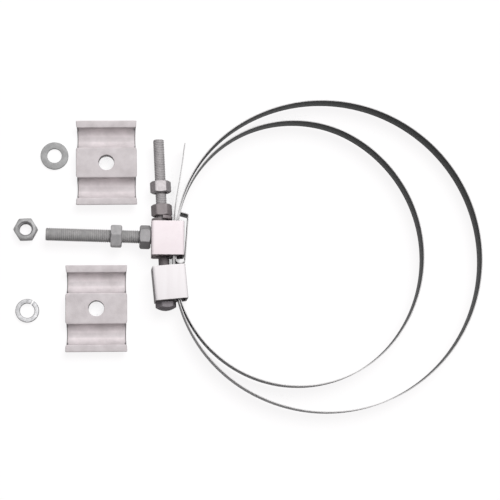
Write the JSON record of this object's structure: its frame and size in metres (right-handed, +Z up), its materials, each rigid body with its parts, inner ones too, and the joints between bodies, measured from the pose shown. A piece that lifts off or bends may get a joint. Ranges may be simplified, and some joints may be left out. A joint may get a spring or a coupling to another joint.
{
  "type": "downlead clamp",
  "caption": "Pole clamp kit for down-lead cables: a steel band wrapped through a screw buckle with a stand-off stud, and grooved clamping plates with loose fasteners.",
  "frame": {"origin": "middle of the laid-out kit's bounding box, on the table under it", "axes": "+X from the loose hardware towards the far side of the band loops, +Y along the tension bolt towards its nuts, +Z up from the table"},
  "size_m": [0.4046, 0.2718, 0.0264],
  "materials": {
    "galvanised_steel": "hot-dip galvanised, dull",
    "bracket_steel": "pale zinc, lightly brushed",
    "band_steel": "stainless strip, smooth",
    "cast_aluminium": "as cast, matt"
  },
  "bodies": {
    "root": {"upper_bracket": "bracket_steel", "pole_band": "band_steel", "standoff_stud": "galvanised_steel", "stud_base_nut": "galvanised_steel", "tension_spring_washer": "galvanised_steel", "upper_cable_plate": "cast_aluminium", "lower_cable_plate": "cast_aluminium", "plate_washer": "galvanised_steel", "plate_nut": "galvanised_steel", "plate_spring_washer": "galvanised_steel"},
    "bolt": {"tension_bolt": "galvanised_steel", "lower_bracket": "bracket_steel"},
    "tension_nut": {"tension_nut": "galvanised_steel"},
    "lock_nut": {"lock_nut": "galvanised_steel"},
    "stud_nut": {"stud_middle_nut": "galvanised_steel"}
  },
  "joints": [
    {"name": "tension_nut_turn", "type": "hinge", "parent": "root", "child": "tension_nut", "pos_m": [-0.07555, 0.03715, 0.01275], "axis": [-0.0532, 0.9986, 0], "range_deg": [0, 1440]},
    {"name": "bolt_slide", "type": "slide", "parent": "root", "child": "bolt", "axis": [-0.0532, 0.9986, 0], "range_m": [-0.006, 0]},
    {"name": "lock_nut_travel", "type": "slide", "parent": "bolt", "child": "lock_nut", "axis": [-0.0532, 0.9986, 0], "range_m": [-0.004, 0.0345]},
    {"name": "stud_nut_travel", "type": "slide", "parent": "root", "child": "stud_nut", "axis": [-0.9998, 0.0192, 0], "range_m": [-0.0148, 0.053]}
  ],
  "couplings": [
    {"joint": "tension_nut_turn", "follows": "bolt_slide", "rad_per_m": -4188.8}
  ]
}
